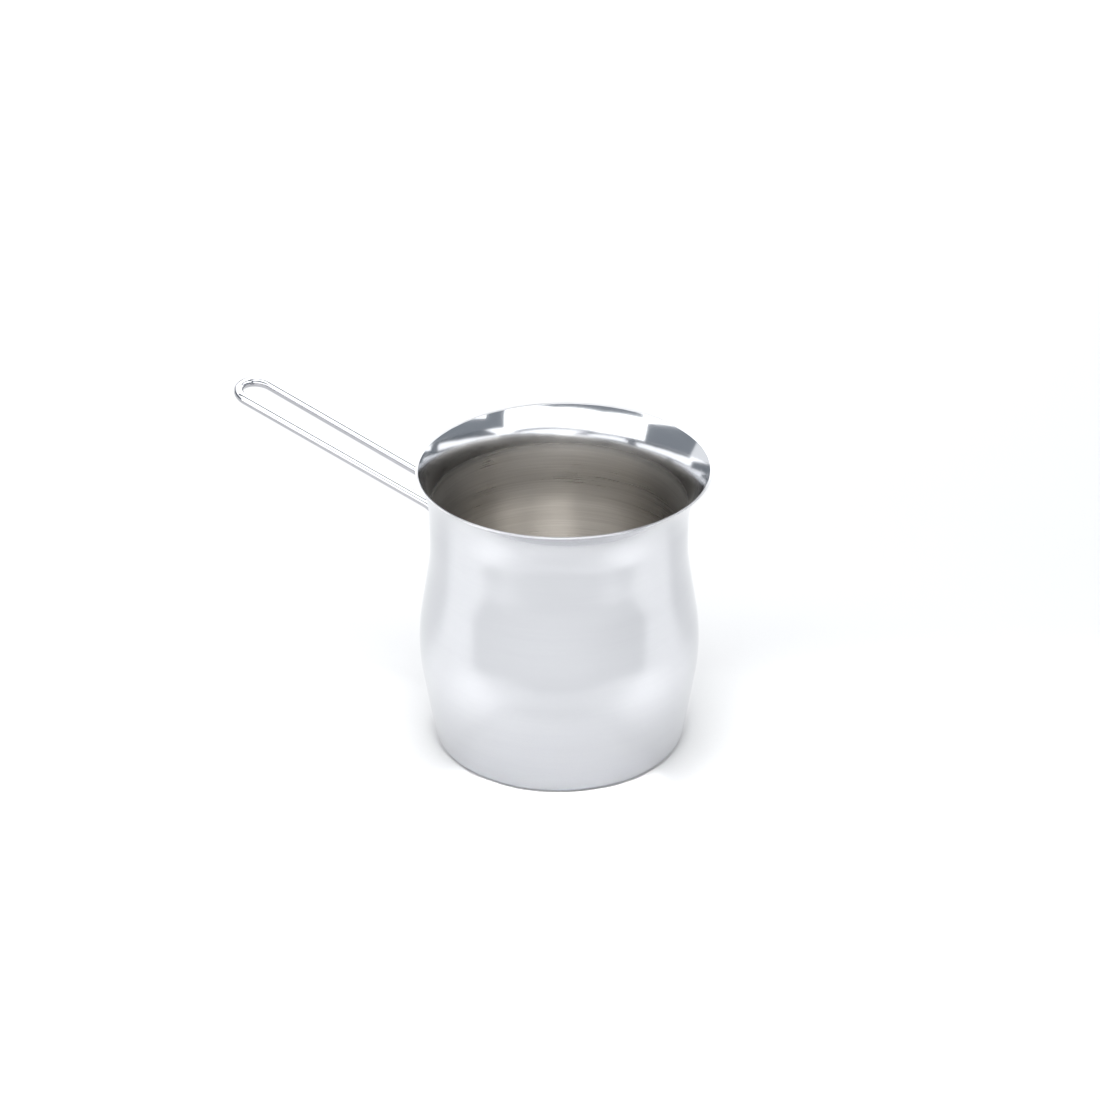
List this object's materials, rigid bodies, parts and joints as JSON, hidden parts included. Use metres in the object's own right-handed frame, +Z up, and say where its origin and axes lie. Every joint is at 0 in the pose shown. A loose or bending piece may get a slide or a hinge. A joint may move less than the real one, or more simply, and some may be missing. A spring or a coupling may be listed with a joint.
{
  "type": "candle melting pot",
  "caption": "Spun steel wax melting pot with a bellied body, a flared pouring lip and a long hairpin handle of bent wire welded below the lip.",
  "frame": {"origin": "middle of the flat ring the pot stands on, on the axis of the pot", "axes": "+Z up along the axis of the pot, the handle points towards -X and the pouring side of the lip is at +X"},
  "size_m": [0.2211, 0.1152, 0.1191],
  "materials": {
    "pot_steel": "satin brushed round the body, mirror polished inside the lip",
    "wire_steel": "bright drawn and polished stainless wire",
    "weld_steel": "cleaned weld metal, dull and slightly rippled"
  },
  "bodies": {
    "root": {"pot_body": "pot_steel", "handle_rod": "wire_steel", "weld_left": "weld_steel", "weld_right": "weld_steel"}
  },
  "joints": []
}
